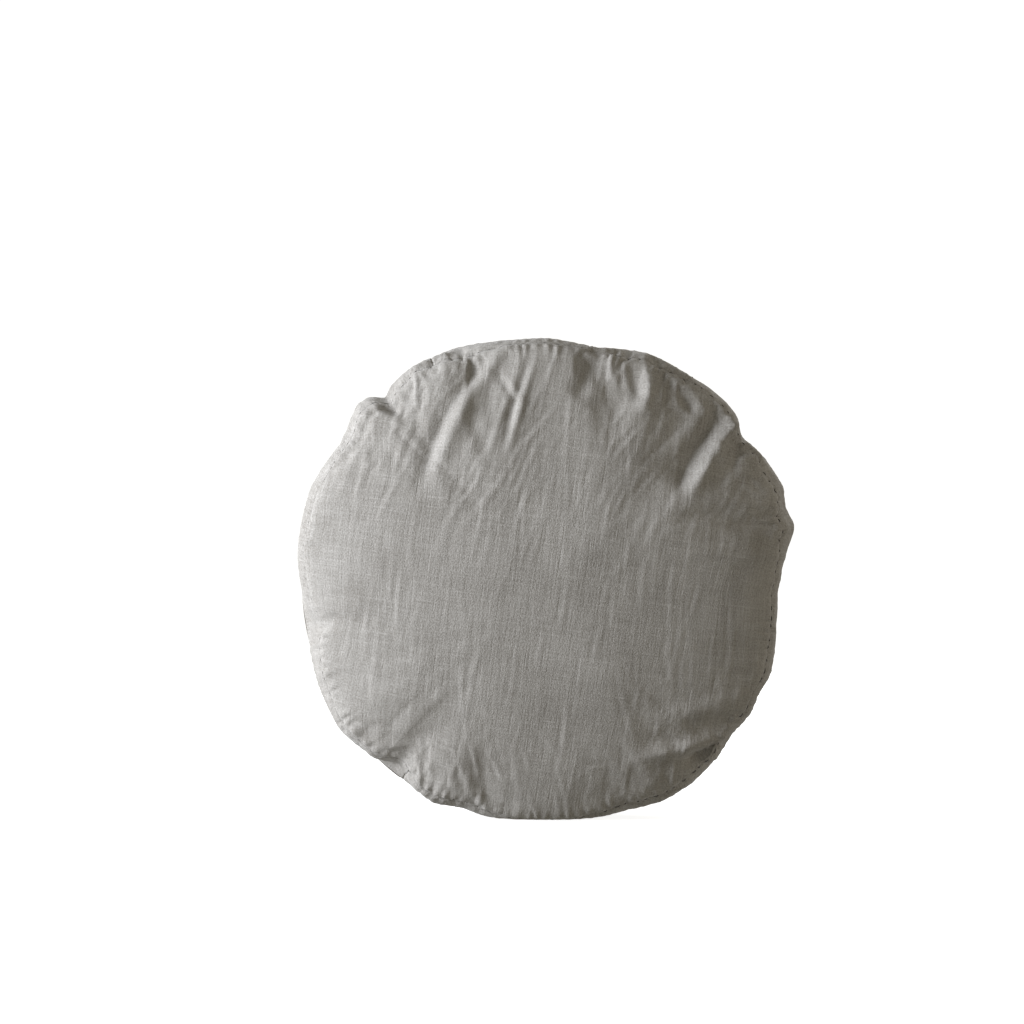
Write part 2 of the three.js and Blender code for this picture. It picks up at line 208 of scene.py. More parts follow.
def carry(points):
    """Points of the flat pattern moved with the cage from flat to inflated."""
    rider = mesh_object("rider", points, np.zeros((0, 4), int))
    tie = rider.modifiers.new("tie", "SURFACE_DEFORM")
    tie.target = cage
    tie.falloff = 4
    set_points(cage, cage_flat)
    with bpy.context.temp_override(object=rider, active_object=rider):
        bpy.ops.object.surfacedeform_bind(modifier="tie")
    set_points(cage, cage_full)
    moved = evaluated_points(rider)
    set_points(cage, cage_flat)
    bpy.data.objects.remove(rider)
    return moved


def pattern_panel(side, share, angle):
    """The flat panel: share is the part of the way from the middle to the seam."""
    radius = PATTERN_RADIUS * share
    y = np.full_like(radius, side * PATTERN_HALF)
    return np.stack([radius * np.sin(angle), y, radius * np.cos(angle)], -1)


def pattern_band(across, angle):
    """The flat band: across is -1 at the front seam and 1 at the back seam."""
    around = np.broadcast_to(PATTERN_RADIUS, angle.shape)
    return np.stack([around * np.sin(angle), PATTERN_HALF * across, around * np.cos(angle)], -1)


# %% The even form under the wrinkles
SHARES = np.linspace(0, 1, 61)
ACROSS = np.linspace(-1, 1, 41)
ring_angle = np.linspace(0, 2 * np.pi, 360, endpoint=False)


def even_profile(points, count):
    """The mean radius and mean y of each ring, which is the form without wrinkles."""
    rings = points.reshape(count, -1, 3)
    return np.hypot(rings[..., 0], rings[..., 2]).mean(1), rings[..., 1].mean(1)


share_grid, angle_grid = np.meshgrid(SHARES, ring_angle, indexing="ij")
across_grid, around_grid = np.meshgrid(ACROSS, ring_angle, indexing="ij")
even_panel = {
    side: even_profile(carry(pattern_panel(side, share_grid.ravel(), angle_grid.ravel())), 61)
    for side in (-1, 1)
}
even_band = even_profile(carry(pattern_band(across_grid.ravel(), around_grid.ravel())), 41)
print("even seam radius", even_panel[-1][0][-1], "even centre", even_panel[-1][1][0])

# %% [markdown]
# ## The settled outline
# A cushion kept on its edge bulges where filling has gathered and has notches
# where the cloth folds over. Listed points, as degrees from the top towards
# the right and millimetres out of round, give the outline, and a curve joins them.

# %% Outline points
OUTLINE = np.array([
    (0, -3), (10, -8), (16, -4), (24, 5), (34, 6), (44, 10), (49, 8), (53, -4),
    (58, 4), (68, 11), (72, 5), (77, 10), (82, -5), (86, -13), (92, -19), (100, -16), (112, -6),
    (117, -10), (122, -6), (128, -10), (136, -4), (144, 0), (152, -2), (160, -9),
    (168, -9), (176, -8), (192, -8), (200, -11), (207, -2), (219, -10), (234, 5),
    (246, 0), (260, -9), (268, -6), (277, 2), (292, 6), (304, 0), (308, 4),
    (313, 14), (317, 10), (319, -7), (321, 2), (325, 6), (329, 8), (338, 4), (352, -3),
])
STEP = 0.5
outline_degrees = np.arange(0, 360, STEP)


def smooth_ring(values, degrees):
    """A closed ring of values blurred by a bell curve of that width in degrees."""
    offset = np.minimum(outline_degrees, 360 - outline_degrees)
    bell = np.exp(-0.5 * (offset / degrees) ** 2)
    blurred = np.fft.ifft(np.fft.fft(values) * np.fft.fft(bell / bell.sum()))
    return blurred.real


outline_wanted = smooth_ring(
    np.interp(outline_degrees, OUTLINE[:, 0], OUTLINE[:, 1], period=360) * MM, 0.8
)
outline_shift = outline_wanted.copy()


WRINKLES = np.array([
    (0, 1.0), (40, 1.0), (62, 0.8), (90, 0.55), (120, 0.5), (150, 0.5), (180, 0.6),
    (208, 0.6), (228, 0.45), (250, 0.3), (292, 0.3), (312, 0.8), (340, 0.85),
])
wrinkle_share = smooth_ring(
    np.interp(outline_degrees, WRINKLES[:, 0], WRINKLES[:, 1], period=360), 6
)


def around_ring(values, angle):
    """The ring's value at each angle in radians."""
    return np.interp(np.degrees(angle) % 360, outline_degrees, values, period=360)


def fade(value, start, end):
    """Goes smoothly from 0 at start to 1 at end."""
    part = np.clip((value - start) / (end - start), 0, 1)
    return part * part * (3 - 2 * part)


# %% [markdown]
# The zip has to run in a true circle, or the slider would leave its teeth. So
# the cloth near it is drawn to the CAD's plain band, and wrinkles fade out there.


# %% The calm strip beside the zip
def calm(angle, y):
    """1 where the zip holds the cloth, 0 where it is free to wrinkle."""
    degrees = np.degrees(angle) % 360
    first, last = np.degrees(ZIP_FROM), np.degrees(ZIP_TO)
    along = fade(degrees, first - 9, first - 2) * (1 - fade(degrees, last + 2, last + 9))
    return along * fade(y, ZIP_Y - 26 * MM, ZIP_Y - 8 * MM)


def cylinder_points(radius, angle, y):
    """Points from radius, angle and y about the cushion's own axis."""
    return np.stack([radius * np.sin(angle), y, radius * np.cos(angle)], -1) + CENTRE


def radial(angle):
    """The direction straight out from the axis."""
    return np.stack([np.sin(angle), np.zeros_like(angle), np.cos(angle)], -1)


# %% [markdown]
# The floor presses the lowest cloth flat. A soft maximum of height and zero does
# that without a hard line.

# %% Placing the cloth
FLOOR_SOFTNESS = 3 * MM
WRINKLE_OUT = 0.9
WRINKLE_DEPTH = 0.6
SEAM_FULLNESS = 4 * MM
DOME_OUT = 2.1
DOME_RISE = 1.7
INNER_FLATTENING = 0.5


def rest_on_floor(points):
    """z becomes (z + root of (z squared + softness squared)) / 2, so it stays above 0."""
    placed = points.copy()
    z = points[:, 2]
    placed[:, 2] = 0.5 * (z + np.sqrt(z * z + FLOOR_SOFTNESS**2))
    return placed


def drawn_in(points, direction, inward):
    """An inner layer: moved inwards and flattened, so that its edges stay clear of
    the folds in the cover."""
    moved = points - direction * inward
    moved[:, 1] *= 1 - INNER_FLATTENING * inward / HALF
    return moved


def wrinkles(flat, angle, position, positions, even):
    """How far carried cloth lies from its even form: outwards, sideways and round,
    and the even radius itself."""
    moved = carry(flat)
    turn = np.arctan2(moved[:, 0], moved[:, 2]) - angle
    turn = (turn + np.pi) % (2 * np.pi) - np.pi
    mean_radius, mean_depth = (np.interp(position, positions, values) for values in even)
    bulge = np.hypot(moved[:, 0], moved[:, 2]) - mean_radius
    return bulge, moved[:, 1] - mean_depth, turn, mean_radius


def panel_form(side, share, angle, inward=0.0):
    """A panel's points and outward directions. The dome obeys
    (radius / seam)^2.1 + (rise / full rise)^1.7 = 1, and the wrinkles of the
    inflated cage are added to it."""
    flat = pattern_panel(side, share, angle)
    bulge, aside, turn, mean_radius = wrinkles(flat, angle, share, SHARES, even_panel[side])
    turn *= fade(share, 0.02, 0.2)
    base = np.minimum(SEAM * mean_radius / even_panel[side][0][-1], SEAM)
    rise = PANEL_RISE * np.maximum(1 - (base / SEAM) ** DOME_OUT, 0) ** (1 / DOME_RISE)
    free = 1 - (calm(angle, np.full_like(angle, side * HALF)) * fade(share, 0.86, 0.98))
    wrinkled = free * around_ring(wrinkle_share, angle)
    out = base + wrinkled * WRINKLE_OUT * bulge
    out += free * around_ring(outline_shift, angle) * share**3
    if side < 0:
        out += SEAM_FULLNESS * share**6
    y = side * (HALF + rise) + wrinkled * WRINKLE_DEPTH * aside
    direction_out = DOME_OUT * (base / SEAM) ** (DOME_OUT - 1) / SEAM
    direction_side = side * DOME_RISE * (rise / PANEL_RISE) ** (DOME_RISE - 1) / PANEL_RISE
    length = np.hypot(direction_out, direction_side)
    direction = radial(angle) * (direction_out / length)[:, None]
    direction[:, 1] = direction_side / length
    points = cylinder_points(out, angle + wrinkled * turn, y)
    return drawn_in(points, direction, inward), direction


def band_form(across, angle, inward=0.0):
    """The band's points and outward directions. Its radius falls with the square
    of the distance from its middle, and the cage's wrinkles are added."""
    flat = pattern_band(across, angle)
    bulge, aside, turn, _ = wrinkles(flat, angle, across, ACROSS, even_band)
    y = HALF * across
    base = CROWN - (CROWN - SEAM) * across**2
    free = 1 - calm(angle, y)
    wrinkled = free * around_ring(wrinkle_share, angle)
    out = base + wrinkled * WRINKLE_OUT * bulge
    out += free * around_ring(outline_shift, angle) + SEAM_FULLNESS * fade(across, -0.1, -1.0)
    placed_y = y + wrinkled * WRINKLE_DEPTH * aside
    direction = radial(angle)
    points = cylinder_points(out, angle + wrinkled * turn, placed_y)
    return drawn_in(points, direction, inward), direction


# %% [markdown]
# Wrinkles move the outline too. So it is measured as an eye in front sees it, and
# the difference from the wanted one is given back to the form, three times over.

# %% Fitting the outline
EYE_DISTANCE = 4.0


def seen_outline():
    """The farthest point from the axis in each half degree, as seen from the front."""
    across, angle = np.meshgrid(
        np.linspace(-1, 1, 13), np.radians(outline_degrees + STEP / 2), indexing="ij"
    )
    points, _ = band_form(across.ravel(), angle.ravel())
    nearness = EYE_DISTANCE / (EYE_DISTANCE + points[:, 1])
    x, z = points[:, 0] * nearness, (points[:, 2] - AXIS_Z) * nearness
    degrees = np.degrees(np.arctan2(x, z)) % 360
    farthest = np.zeros(len(outline_degrees))
    np.maximum.at(farthest, (degrees / STEP).astype(int) % len(farthest), np.hypot(x, z))
    empty = farthest == 0
    farthest[empty] = np.interp(
        outline_degrees[empty], outline_degrees[~empty], farthest[~empty], period=360
    )
    return farthest


for turn_number in range(3):
    error = outline_wanted - (seen_outline() - CROWN)
    outline_shift += smooth_ring(error, 1.0)
print("outline error left, mm", np.abs(error).mean() / MM)

# %% [markdown]
# ## Folds pressed by hand
# Some folds come from handling, so they are listed one by one. Each is a bell-shaped
# wave round a line through a few points, in millimetres right of and above the
# cushion's middle. A hollow has a negative height.

# %% Named folds
FOLDS = [
    # height, width, then the line's points
    (4.6, 11, [(-51, 279), (-85, 232), (-112, 183), (-137, 122)]),
    (-4.6, 10, [(-69, 271), (-112, 212), (-132, 167), (-157, 97)]),
    (-2.2, 5, [(-56, 252), (-38, 220), (-49, 183)]),
    (1.4, 5, [(-47, 246), (-27, 216), (-38, 186)]),
    (1.7, 5, [(-10, 273), (-22, 236), (-34, 195), (-47, 146)]),
    (-1.7, 5, [(-18, 270), (-31, 232), (-43, 190), (-54, 150)]),
    (-4.0, 10, [(58, 270), (46, 240), (35, 216)]),
    (3.0, 9, [(82, 280), (78, 257), (88, 236)]),
    (3.2, 8, [(133, 269), (127, 249), (119, 220), (117, 196)]),
    (-4.0, 8, [(104, 262), (108, 240), (116, 212)]),
    (2.4, 6, [(150, 247), (172, 231), (190, 209), (196, 192)]),
    (-2.6, 6, [(146, 238), (164, 222), (180, 200)]),
    (7.0, 9, [(236, 218), (219, 181), (196, 151), (178, 122), (164, 94)]),
    (-9.0, 11, [(206, 222), (198, 186), (179, 158), (164, 132), (152, 104)]),
    (-4.0, 26, [(186, 214), (172, 180), (154, 150), (140, 116)]),
    (-2.0, 7, [(240, 188), (229, 158), (214, 132), (196, 100)]),
    (-2.2, 5, [(236, 180), (228, 152), (220, 120)]),
    (3.5, 12, [(268, -116), (228, -136), (180, -150), (128, -158)]),
    (6.0, 9, [(250, -162), (206, -180), (156, -197), (96, -208)]),
    (-12.0, 9, [(248, -182), (218, -196), (188, -206), (160, -212)]),
    (3.0, 8, [(-84, -268), (-94, -248), (-112, -226)]),
    (3.0, 8, [(-66, -270), (-90, -246), (-96, -218)]),
    (-3.5, 7, [(-74, -272), (-92, -252), (-104, -222)]),
    (3.0, 8, [(-262, 142), (-248, 160), (-236, 178)]),
    (-3.0, 7, [(-266, 126), (-246, 146), (-226, 160)]),
    (-5.0, 6, [(-204, 228), (-190, 212), (-172, 202)]),
]


def ridge(x, z, height, width, line):
    """A bell-shaped wave round a line: height times e to minus (distance / width)
    squared, with both ends faded over one sixth of the line's length."""
    line = np.array(line, float)
    starts, steps = line[:-1], np.diff(line, axis=0)
    lengths = np.hypot(*steps.T)
    before = np.concatenate([[0], np.cumsum(lengths)[:-1]])
    relative = np.stack([x, z], -1)[:, None, :] - starts
    part = np.clip((relative * steps).sum(-1) / lengths**2, 0, 1)
    distance = np.linalg.norm(relative - part[..., None] * steps, axis=-1)
    nearest = distance.argmin(1)
    chosen = np.arange(len(x)), nearest
    along = (before[nearest] + part[chosen] * lengths[nearest]) / lengths.sum()
    end = fade(along, -0.1, 0.2) * (1 - fade(along, 0.72, 1.0))
    return height * end * np.exp(-((distance[chosen] / width) ** 2))


def hand_folds(x, z):
    """The sum of all the named folds, in millimetres, at points in millimetres."""
    total = np.zeros_like(x)
    for height, width, line in FOLDS:
        total += ridge(x, z, height, width, line)
    return total


# %% [markdown]
# ## Fine creases
# Washed linen keeps fine creases along its threads. Each is a short stroke: a
# ridge with a valley beside it and soft ends. Seeded random numbers spread them.


# %% Crease strokes
def creases(x, z, seed, groups):
    """Adds up strokes. Each group gives a count, a box for the middles, a lean in
    degrees with its spread, and ranges of length, width and height in millimetres."""
    draw = np.random.default_rng(seed)
    total = np.zeros_like(x)
    for count, (left, right, low, high), (lean, spread), length, width, height in groups:
        for _ in range(count):
            middle = draw.uniform([left, low], [right, high])
            turn = np.radians(draw.normal(lean, spread))
            long, wide, tall = (draw.uniform(*bounds) for bounds in (length, width, height))
            bend = draw.normal(0, 0.0012)
            dx, dz = x - middle[0], z - middle[1]
            along = dx * np.cos(turn) + dz * np.sin(turn)
            aside = -dx * np.sin(turn) + dz * np.cos(turn) + bend * along**2
            ends = np.exp(-((2 * along / long) ** 4))
            wave = np.exp(-((aside / wide) ** 2)) - 0.7 * np.exp(-((aside / wide - 1.5) ** 2))
            total += tall * ends * wave
    return total


FRONT_CREASES = [
    (60, (-230, 190, 20, 262), (69, 7), (40, 140), (2.4, 4.6), (0.12, 0.6)),
    (70, (-120, 230, 60, 262), (66, 11), (20, 70), (2.2, 4.0), (0.12, 0.6)),
    (170, (-240, 250, -240, 120), (82, 8), (20, 90), (2.2, 3.8), (0.08, 0.42)),
    (50, (-250, 250, -250, 200), (10, 14), (15, 50), (2.2, 4.0), (0.08, 0.3)),
    (26, (-150, 40, -272, -190), (100, 22), (25, 60), (2.4, 4.5), (0.15, 0.5)),
]
BACK_CREASES = [
    (120, (-240, 240, -240, 250), (96, 10), (30, 130), (2.6, 5.5), (0.25, 1.0)),
    (40, (-250, 250, -250, 250), (170, 14), (25, 70), (2.6, 5.0), (0.15, 0.45)),
]


# %% [markdown]
# ## Puckers along the seams
# The stitches gather the cloth, so small tucks stand across the seam about every
# 13 mm. They are a wave along the seam with an uneven pitch, zero in the seam and
# greatest a few millimetres away. The seam itself lies in a narrow ditch.

# %% Puckers and ditch
PUCKER_PITCH = 13 * MM
PUCKER_REACH = 11 * MM
DITCH_DEPTH = 2.0 * MM
DITCH_WIDTH = 3.2 * MM


def uneven(angle, seed, waves=9, lowest=3, highest=24):
    """A smooth random ring between about -1 and 1, from a few sine waves."""
    draw = np.random.default_rng(seed)
    turns = draw.integers(lowest, highest, waves)
    starts = draw.uniform(0, 2 * np.pi, waves)
    return np.sin(angle[..., None] * turns + starts).mean(-1) * np.sqrt(waves) * 0.8


def puckers(angle, distance, seed, tall=1.5 * MM):
    """Height of the tucks at a distance from the seam."""
    turns = round(2 * np.pi * SEAM / PUCKER_PITCH)
    phase = turns * angle + 2.4 * uneven(angle, seed) + 1.3 * uneven(angle, seed + 1, 9, 20, 60)
    strength = np.clip(0.75 + 0.6 * uneven(angle, seed + 2), 0.15, 1.6)
    reach = PUCKER_REACH * (1 + 0.5 * uneven(angle, seed + 3, 9, 30, 90))
    rise = fade(distance, 0, 5 * MM)
    return tall * strength * rise * np.exp(-((distance / reach) ** 1.4)) * np.sin(phase)


def ditch(distance):
    """The sunken seam: a narrow bell-shaped valley."""
    return -DITCH_DEPTH * np.exp(-((distance / DITCH_WIDTH) ** 2))


# %% [markdown]
# ## Meshes of cloth
# A disc on rings and spokes would crowd its middle, so concentric squares are bent
# into circles: ring k holds 8k even points. A second layer under the first, joined
# round the rim, gives the cloth its thickness and closes each piece.


# %% Grid helpers
UV_PER_METRE = 10.0


def disc_grid(rings):
    """Ring number, angle and quads of concentric squares bent into circles."""
    line = np.arange(-rings, rings + 1)
    i, j = np.meshgrid(line, line, indexing="ij")
    ring = np.maximum(abs(i), abs(j))
    steep = abs(i) >= abs(j)
    lead = np.where(steep, i, j)
    other = np.where(steep, j, i)
    share = other / np.where(lead == 0, 1, lead)
    turn = np.where(steep, np.pi / 4 * share, np.pi / 2 - np.pi / 4 * share)
    angle = (turn + np.pi * (lead < 0)) % (2 * np.pi)
    return ring.ravel(), angle.ravel(), grid_quads(len(line), len(line))


def grid_quads(rows, columns):
    """Quads of an open grid of rows by columns."""
    index = np.arange(rows * columns).reshape(rows, columns)
    return np.stack(
        [index[:-1, :-1], index[:-1, 1:], index[1:, 1:], index[1:, :-1]], -1
    ).reshape(-1, 4)


def point_normals(points, faces):
    """Each point's normal: the sum of the crossed diagonals of its faces, made unit."""
    corners = points[faces]
    crossed = np.cross(corners[:, 2] - corners[:, 0], corners[:, 3] - corners[:, 1])
    total = np.zeros_like(points)
    np.add.at(total, faces.ravel(), np.repeat(crossed, 4, axis=0))
    return total / np.maximum(np.linalg.norm(total, axis=1, keepdims=True), 1e-12)


def faces_outward(points, faces, outward):
    """The faces, turned over if they look against the outward directions."""
    looks_in = (point_normals(points, faces) * outward).sum() < 0
    return faces[:, ::-1] if looks_in else faces


def thicken(points, faces, outward, thickness):
    """A closed body: the surface, a copy moved inwards, and walls round its rim."""
    faces = faces_outward(points, faces, outward)
    normals = point_normals(points, faces)
    count = len(points)
    edges = np.concatenate([faces[:, [k, (k + 1) % 4]] for k in range(4)])
    key = np.sort(edges, axis=1) @ np.array([count, 1])
    _, first, times = np.unique(key, return_index=True, return_counts=True)
    rim = edges[first[times == 1]]
    walls = np.stack([rim[:, 1], rim[:, 0], rim[:, 0] + count, rim[:, 1] + count], -1)
    body = np.concatenate([points, points - normals * thickness])
    return body, np.concatenate([faces, faces[:, ::-1] + count, walls])


def piece(name, points, faces, uv=None):
    """A smooth-shaded object with an optional UV for each point, in metres times ten."""
    made = mesh_object(name, points, faces)
    made.data.shade_smooth()
    if uv is not None:
        loops = np.zeros(len(made.data.loops), int)
        made.data.loops.foreach_get("vertex_index", loops)
        layer = made.data.uv_layers.new(name="weave")
        layer.data.foreach_set("uv", (np.asarray(uv)[loops] * UV_PER_METRE).ravel())
    print(name, len(made.data.vertices), "points", len(made.data.polygons), "faces")
    return made


# %% Shared sizes of the cloth
CLOTH = 1.0 * MM
RINGS = 108
COLUMNS = 8 * RINGS
BAND_ROWS = 44
ALLOWANCE = np.array([1.2, 2.6, 4.0]) * MM
ALLOWANCE_GAP = 0.35 * MM
column_angle = 2 * np.pi * np.arange(COLUMNS) / COLUMNS

# %% [markdown]
# ## The front and back panels
# Each is one disc of linen. Its rim turns in at the seam, as a sewn seam
# allowance does, so nothing ends in the open.


# %% Panels
def ring_share(ring, rings):
    """Rings lie closer together towards the rim, where the puckers are."""
    part = ring / rings
    return part * (1.28 - 0.28 * part**2)


def turned_in(rim, side, steps=ALLOWANCE):
    """Rows that go inwards from a rim, a little to its own side of the seam."""
    inward = CENTRE - rim
    inward[:, 1] = 0
    inward /= np.linalg.norm(inward, axis=1, keepdims=True)
    rows = rim + inward * steps[:, None, None]
    rows[..., 1] += side * ALLOWANCE_GAP * np.arange(1, len(steps) + 1)[:, None]
    return rows.reshape(-1, 3)


def panel(name, side, rings, relief, seed, inward=0.0, thickness=CLOTH):
    """A panel of cloth with its relief, its puckers and its turned-in rim. An
    inner panel lies inward of the cover, and has neither ditch nor puckers."""
    ring, angle, faces = disc_grid(rings)
    share = ring_share(ring, rings)
    points, direction = panel_form(side, share, angle, inward)
    distance = (1 - share) * SEAM
    flat = pattern_panel(side, share, angle)
    height = relief(points + direction * inward) * MM
    if side > 0:
        height *= 1 - calm(angle, np.full_like(angle, HALF)) * fade(share, 0.86, 0.98)
    if inward == 0:
        height += puckers(angle, distance, seed)
    height *= fade(distance, 0, 5 * MM)
    if inward == 0:
        height += ditch(distance)
    points = points + direction * height[:, None]
    rim = np.flatnonzero(ring == rings)
    rim = rim[np.argsort(angle[rim])]
    rows = turned_in(points[rim], side)
    count, around = len(points), len(rim)
    strip = ring_walls(np.concatenate([[rim], count + np.arange(len(rows)).reshape(-1, around)]))
    faces = faces_outward(points, faces, direction)
    if side > 0:
        strip = strip[:, ::-1]
    whole = rest_on_floor(np.concatenate([points, rows]))
    outward = np.concatenate([direction, np.zeros_like(rows)])
    cloth_uv = np.concatenate([flat[:, [0, 2]], np.tile(flat[rim][:, [0, 2]], (len(ALLOWANCE), 1))])
    body, quads = thicken(whole, np.concatenate([faces, strip]), outward, thickness)
    return piece(name, body, quads, np.tile(cloth_uv, (2, 1)))


def front_relief(points):
    """Hand folds and creases of the front, in millimetres."""
    x, z = points[:, 0] / MM, (points[:, 2] - AXIS_Z) / MM
    return hand_folds(x, z) + creases(x, z, 11, FRONT_CREASES)


def back_relief(points):
    """The back has only fine creases."""
    x, z = points[:, 0] / MM, (points[:, 2] - AXIS_Z) / MM
    return creases(x, z, 23, BACK_CREASES)


front_panel = panel("linen_front_panel", -1, RINGS, front_relief, 31)
back_panel = panel("linen_back_panel", 1, RINGS, back_relief, 47)
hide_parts("front_panel")
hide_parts("back_panel")

# %% [markdown]
# ## The side band and the zip strips
# The band closes the ring between the panels. On the left it is cut into two
# strips, and the zip lies between them. Every edge is turned in.


# %% Band pieces
def row_positions(low, high, count):
    """Positions from low to high that crowd towards both ends."""
    part = np.linspace(0, 1, count)
    return low + (high - low) * (part - 0.11 * np.sin(2 * np.pi * part))


SEWN_EDGE = ((1.2 * MM, 0.3 * MM), (4.0 * MM, 0.6 * MM))
ROLLED_EDGE = ((0.45 * MM, -0.12 * MM), (0.95 * MM, 0.5 * MM))


def fold_edge(arrays, axis, end, steps):
    """Adds rows or columns that go under at one edge. Each step is how far down and
    how far back from the edge. arrays are points, outward directions, u and v."""
    grid, outward, u, v = arrays
    edge, up = np.take(grid, [end], axis), np.take(outward, [end], axis)
    back = np.take(grid, [1 if end == 0 else -2], axis) - edge
    back /= np.maximum(np.linalg.norm(back, axis=-1, keepdims=True), 1e-9)
    added = [edge - up * down + back * aside for down, aside in steps]
    still = [np.take(outward, [end], axis) * 0] * len(steps)
    same = [[np.take(values, [end], axis)] * len(steps) for values in (u, v)]
    if end == 0:
        made = (added[::-1] + [grid], still + [outward], same[0] + [u], same[1] + [v])
    else:
        made = ([grid] + added, [outward] + still, [u] + same[0], [v] + same[1])
    return [np.concatenate(parts, axis) for parts in made]


def band_piece(name, columns, low, high, rows, seed, zip_edge=None, inward=0.0, thickness=CLOTH):
    """A stretch of band over some columns, between two y positions. Edges are sewn,
    except the one beside the zip (0 is the front one, -1 the back one), which is rolled."""
    angle = 2 * np.pi * np.asarray(columns) / COLUMNS
    y_grid, angle_grid = np.meshgrid(row_positions(low, high, rows), angle, indexing="ij")
    flat_y, flat_angle = y_grid.ravel(), angle_grid.ravel()
    points, direction = band_form(flat_y / HALF, flat_angle, inward)
    if inward == 0:
        to_front, to_back = flat_y + HALF, HALF - flat_y
        height = puckers(flat_angle, to_front, 31, 1.2 * MM)
        height += puckers(flat_angle, to_back, 47, 1.0 * MM)
        height += 0.5 * MM * uneven(flat_angle + 9 * flat_y, seed, 12, 30, 120)
        height *= fade(np.minimum(to_front, to_back), 0, 4 * MM) * (1 - calm(flat_angle, flat_y))
        height += ditch(to_front) + ditch(to_back)
        ends = np.minimum(flat_angle - angle[0], angle[-1] - flat_angle) * CROWN
        height += ditch(ends) * 0.4
        points = points + direction * height[:, None]
    shape = (rows, len(angle))
    arrays = [points.reshape(*shape, 3), direction.reshape(*shape, 3), angle_grid * CROWN, y_grid]
    for axis, end in ((0, 0), (0, -1), (1, 0), (1, -1)):
        rolled = axis == 0 and end == zip_edge
        arrays = fold_edge(arrays, axis, end, ROLLED_EDGE if rolled else SEWN_EDGE)
    grid, outward, u, v = arrays
    body, quads = thicken(
        rest_on_floor(grid.reshape(-1, 3)), grid_quads(*grid.shape[:2]),
        outward.reshape(-1, 3), thickness,
    )
    return piece(name, body, quads, np.tile(np.stack([u.ravel(), v.ravel()], -1), (2, 1)))


ZIP_OPENING = 6.8 * MM
zip_first = round(ZIP_FROM / (2 * np.pi) * COLUMNS)
zip_last = round(ZIP_TO / (2 * np.pi) * COLUMNS)
slit = ZIP_OPENING / 2 * np.cos(ZIP_TILT)
plain_columns = np.arange(zip_last, zip_first + COLUMNS + 1)
zip_columns = np.arange(zip_first, zip_last + 1)
side_band = band_piece("linen_side_band", plain_columns, -HALF, HALF, BAND_ROWS, 61)
strip_front = band_piece("linen_zip_strip_front", zip_columns, -HALF, ZIP_Y - slit, 40, 62, -1)
strip_back = band_piece("linen_zip_strip_back", zip_columns, ZIP_Y + slit, HALF, 14, 63, 0)
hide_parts("side_band")
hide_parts("zip_strip_front")
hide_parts("zip_strip_back")

# %% [markdown]
# ## Linen
# Washed linen is a plain weave of uneven flax yarns, thick in places (slubs). It
# is rough, with a faint sheen from loose fibres. The real yarns are 0.8 mm apart,
# too fine to show, so they are drawn 2.6 mm apart. The pattern follows each
# piece's own UV, which is its flat pattern in metres.


# %% Node helper and colours
def linear(code):
    """An sRGB hex colour as linear red, green, blue and alpha."""
    value = np.array([int(code[k : k + 2], 16) for k in (1, 3, 5)]) / 255
    light = np.where(value <= 0.04045, value / 12.92, ((value + 0.055) / 1.055) ** 2.4)
    return (*light.tolist(), 1.0)


def feed(tree, node, inputs):
    """Sets or links a node's inputs."""
    for socket, value in inputs.items():
        if isinstance(value, bpy.types.NodeSocket):
            tree.links.new(value, node.inputs[socket])
        else:
            node.inputs[socket].default_value = value


def add(tree, kind, inputs=None, **settings):
    """Adds a node with its inputs and settings."""
    node = tree.nodes.new(kind)
    for key, value in settings.items():
        setattr(node, key, value)
    feed(tree, node, inputs or {})
    return node


def ramp(tree, value, low, high, start=0.0, end=1.0):
    """Goes from start to end as the value goes from low to high."""
    return add(tree, "ShaderNodeMapRange", {
        "Value": value, "From Min": low, "From Max": high, "To Min": start, "To Max": end,
    }).outputs["Result"]


def two_tone(tree, share, dark, light):
    """A colour between dark and light."""
    return add(tree, "ShaderNodeMix", {
        0: share, 6: linear(dark), 7: linear(light),
    }, data_type="RGBA").outputs[2]


def bumped(tree, height, strength, depth):
    """The surface's normal, tilted by a height in metres times depth."""
    return add(tree, "ShaderNodeBump", {
        "Height": height, "Strength": strength, "Distance": depth,
    }).outputs["Normal"]


def new_material(name):
    """An empty node material with its output and one Principled shader."""
    material = bpy.data.materials.new(name)
    material.use_nodes = True
    tree = material.node_tree
    tree.nodes.clear()
    shader = add(tree, "ShaderNodeBsdfPrincipled")
    add(tree, "ShaderNodeOutputMaterial", {"Surface": shader.outputs["BSDF"]})
    return material, tree, shader


# %% Washed linen
CRUMPLE_SHARE = 0.42
SLUB_LIGHT = 0.06
SHARP_CREASE = 0.16


